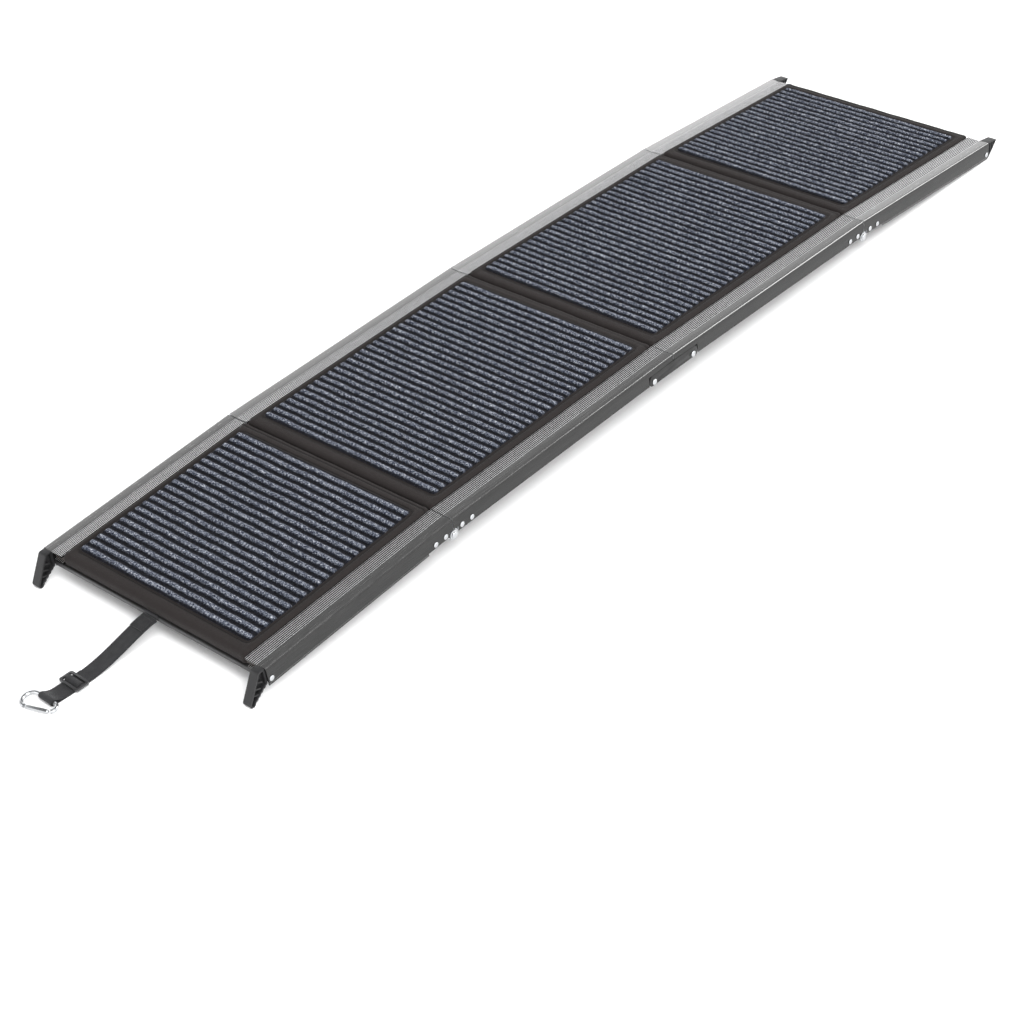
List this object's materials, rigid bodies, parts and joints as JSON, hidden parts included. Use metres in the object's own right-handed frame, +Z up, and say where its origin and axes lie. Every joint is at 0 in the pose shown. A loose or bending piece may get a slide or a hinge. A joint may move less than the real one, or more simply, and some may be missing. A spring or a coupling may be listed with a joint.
{
  "type": "folding dog ramp",
  "caption": "Folding dog ramp with carpeted decks between grooved metal rails, a grip at the centre link, claw feet and a strap with a snap hook.",
  "frame": {"origin": "floor level, under the middle of the unfolded ramp, strap left out", "axes": "+X along the ramp from the strap end to the far end, +Y to its left, +Z up"},
  "size_m": [1.6823, 0.4034, 0.0675],
  "materials": {
    "rail": "dark satin extrusion, brighter on the tread ribs",
    "link": "dark satin",
    "zinc": "bright zinc plate",
    "plastic": "moulded, matt",
    "board": "plain board, hidden in the fabric sleeve",
    "cover": "coarse plain weave",
    "carpet": "ribbed needle felt",
    "webbing": "flat woven webbing",
    "grip": "foam sleeve, matt"
  },
  "bodies": {
    "centre_link": {"link_bracket_left": "link", "link_bracket_right": "link", "link_screw_2_left": "zinc", "link_screw_2_right": "zinc", "link_screw_3_left": "zinc", "link_screw_3_right": "zinc", "handle_bar": "link", "handle_grip": "grip"},
    "section_2": {"rail_2_left": "rail", "rail_2_right": "rail", "pivot_block_2_left": "plastic", "pivot_block_2_right": "plastic", "hinge_leaf_2_left": "zinc", "hinge_leaf_2_right": "zinc", "hinge_pin_2_left": "zinc", "hinge_pin_2_right": "zinc", "deck_board_2": "board", "deck_cover_2": "cover", "carpet_2": "carpet"},
    "section_1": {"rail_1_left": "rail", "rail_1_right": "rail", "hinge_leaf_1_left": "zinc", "hinge_leaf_1_right": "zinc", "foot_left": "plastic", "foot_right": "plastic", "cap_rivet_1_left": "zinc", "cap_rivet_1_right": "zinc", "deck_board_1": "board", "deck_cover_1": "cover", "carpet_1": "carpet", "near_bar": "rail", "strap_anchor": "webbing"},
    "section_3": {"rail_3_left": "rail", "rail_3_right": "rail", "pivot_block_3_left": "plastic", "pivot_block_3_right": "plastic", "hinge_leaf_3_left": "zinc", "hinge_leaf_3_right": "zinc", "hinge_pin_3_left": "zinc", "hinge_pin_3_right": "zinc", "deck_board_3": "board", "deck_cover_3": "cover", "carpet_3": "carpet"},
    "section_4": {"rail_4_left": "rail", "rail_4_right": "rail", "hinge_leaf_4_left": "zinc", "hinge_leaf_4_right": "zinc", "lip_left": "plastic", "lip_right": "plastic", "cap_rivet_4_left": "zinc", "cap_rivet_4_right": "zinc", "deck_board_4": "board", "deck_cover_4": "cover", "carpet_4": "carpet", "far_bar": "rail"},
    "tether": {"strap": "webbing", "slider": "plastic", "snap_hook": "zinc"},
    "gate": {"snap_hook_gate": "zinc"}
  },
  "joints": [
    {"name": "section_2_fold", "type": "hinge", "parent": "centre_link", "child": "section_2", "pos_m": [-0.03719, 0, 0.04133], "axis": [0, -1, 0], "range_deg": [0, 89]},
    {"name": "section_1_fold", "type": "hinge", "parent": "section_2", "child": "section_1", "pos_m": [-0.41915, 0, 0.034], "axis": [0, -1, 0], "range_deg": [0, 177.35]},
    {"name": "section_3_fold", "type": "hinge", "parent": "centre_link", "child": "section_3", "pos_m": [0.04281, 0, 0.04053], "axis": [0, 1, 0], "range_deg": [0, 89]},
    {"name": "section_4_fold", "type": "hinge", "parent": "section_3", "child": "section_4", "pos_m": [0.42454, 0, 0.02554], "axis": [0, 1, 0], "range_deg": [0, 177.35]},
    {"name": "strap_swing", "type": "hinge", "parent": "section_1", "child": "tether", "pos_m": [-0.73542, 0.00309, 0.0226], "axis": [0, 1, 0], "range_deg": [0, 12.1]},
    {"name": "gate_turn", "type": "hinge", "parent": "tether", "child": "gate", "pos_m": [-0.90741, -0.00724, 0.00385], "axis": [0.07, -0.003, -0.9975], "range_deg": [0, 25], "stiffness_Nm_per_rad": 0.02, "springref_deg": -11.46}
  ],
  "couplings": [
    {"joint": "strap_swing", "follows": "section_1_fold", "ratio": 0.0677}
  ]
}
